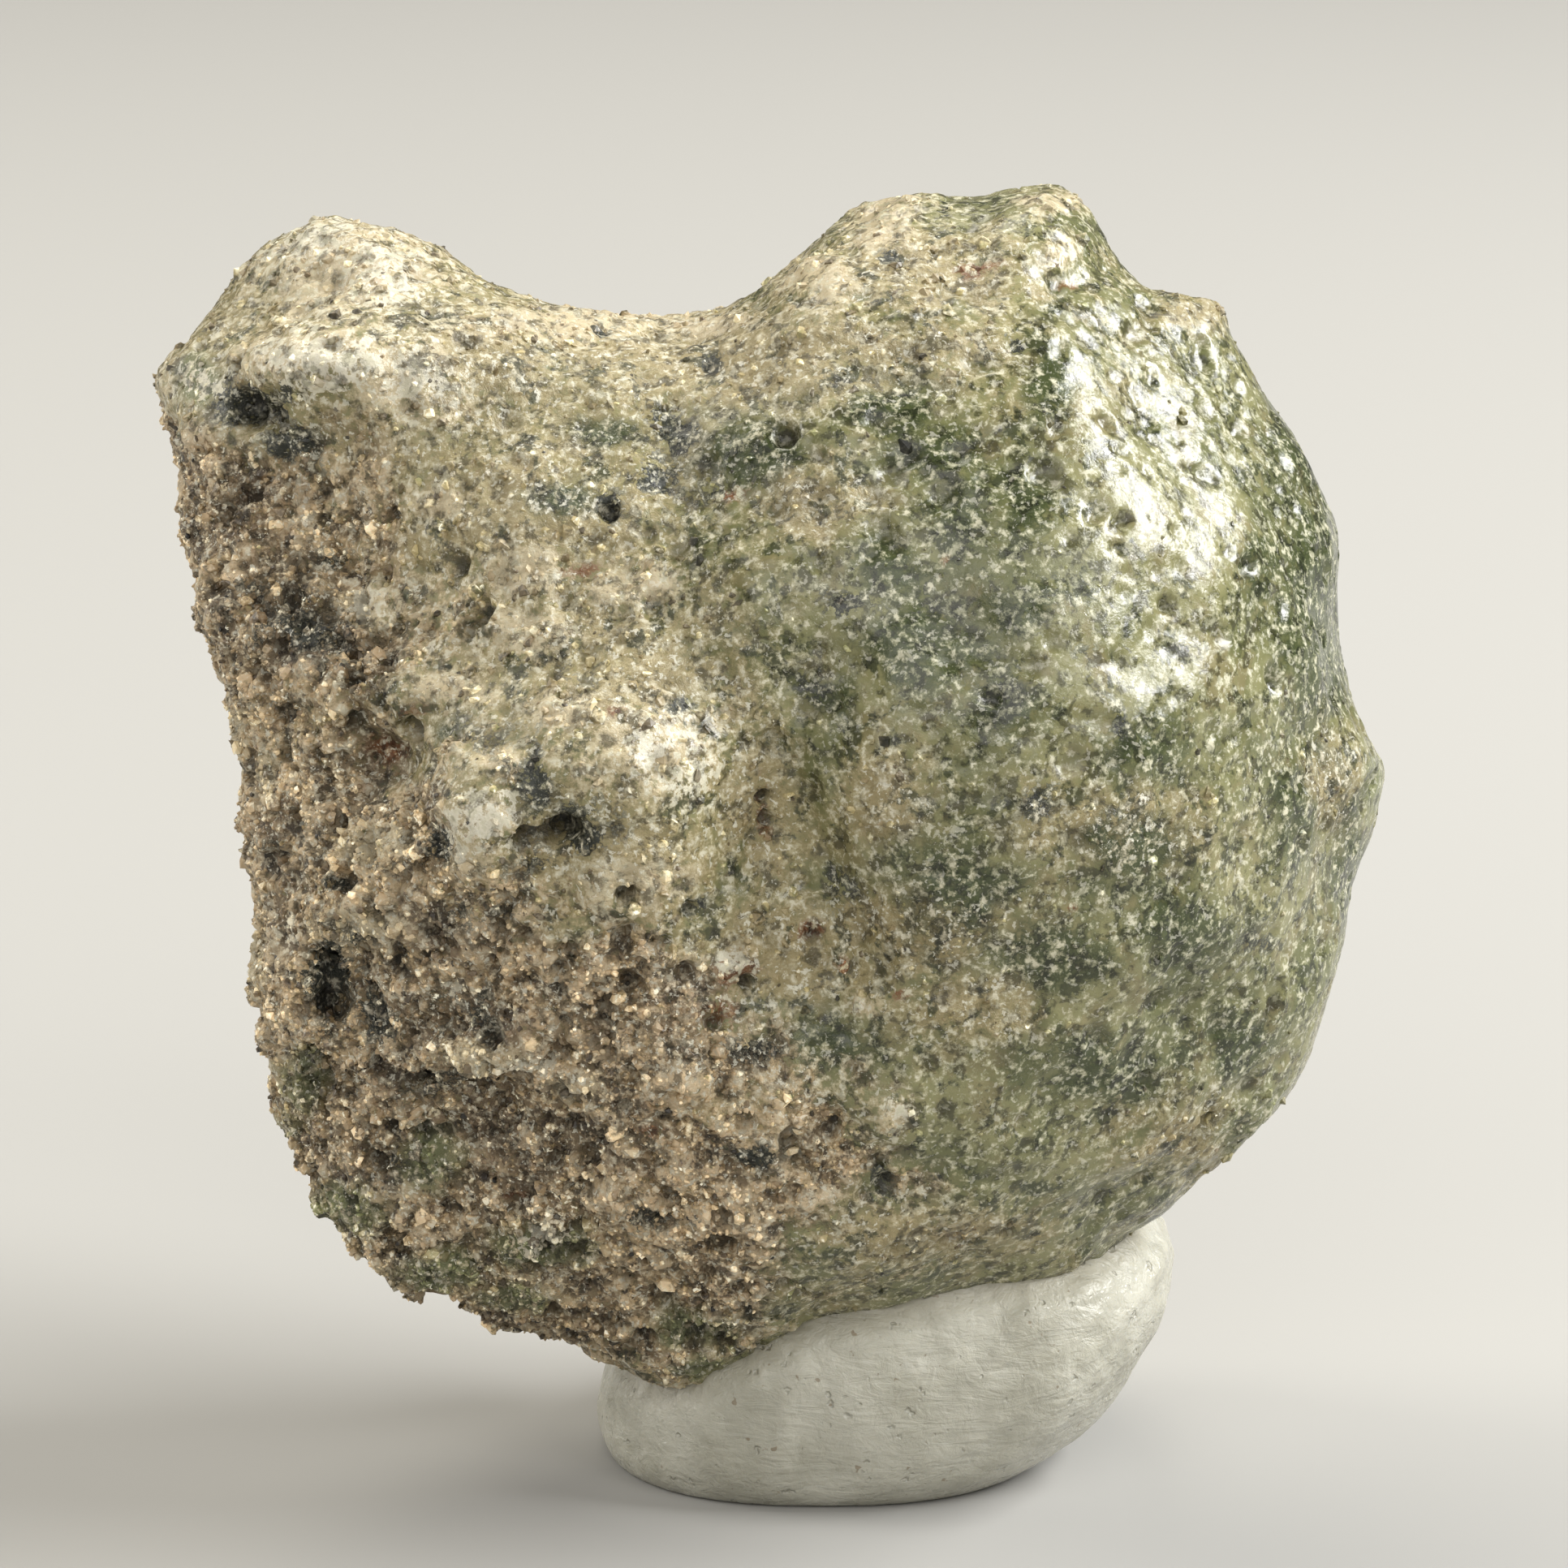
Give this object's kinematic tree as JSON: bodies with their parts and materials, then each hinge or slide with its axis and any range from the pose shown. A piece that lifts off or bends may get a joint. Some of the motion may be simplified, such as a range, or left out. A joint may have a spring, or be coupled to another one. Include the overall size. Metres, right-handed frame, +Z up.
{
  "type": "trinitite specimen on mounting putty",
  "caption": "Two-horned lump of green-grey trinitite, a glass of fused desert sand with a glossy domed front and a bubbly sandy back, held upright by a dab of cream mounting putty.",
  "frame": {"origin": "middle of the putty's flat foot, on the surface that the specimen stands on", "axes": "+Z up, +X to the right of a viewer who faces the glassy front, +Y to the sandy back"},
  "size_m": [0.014, 0.0087, 0.0146],
  "materials": {
    "trinitite_glass": "glossy pocked green-grey glass in front, rough fused sand at the left and on the back",
    "cream_putty": "satin, with press marks"
  },
  "bodies": {
    "root": {"trinitite": "trinitite_glass", "mounting_putty": "cream_putty"}
  },
  "joints": []
}
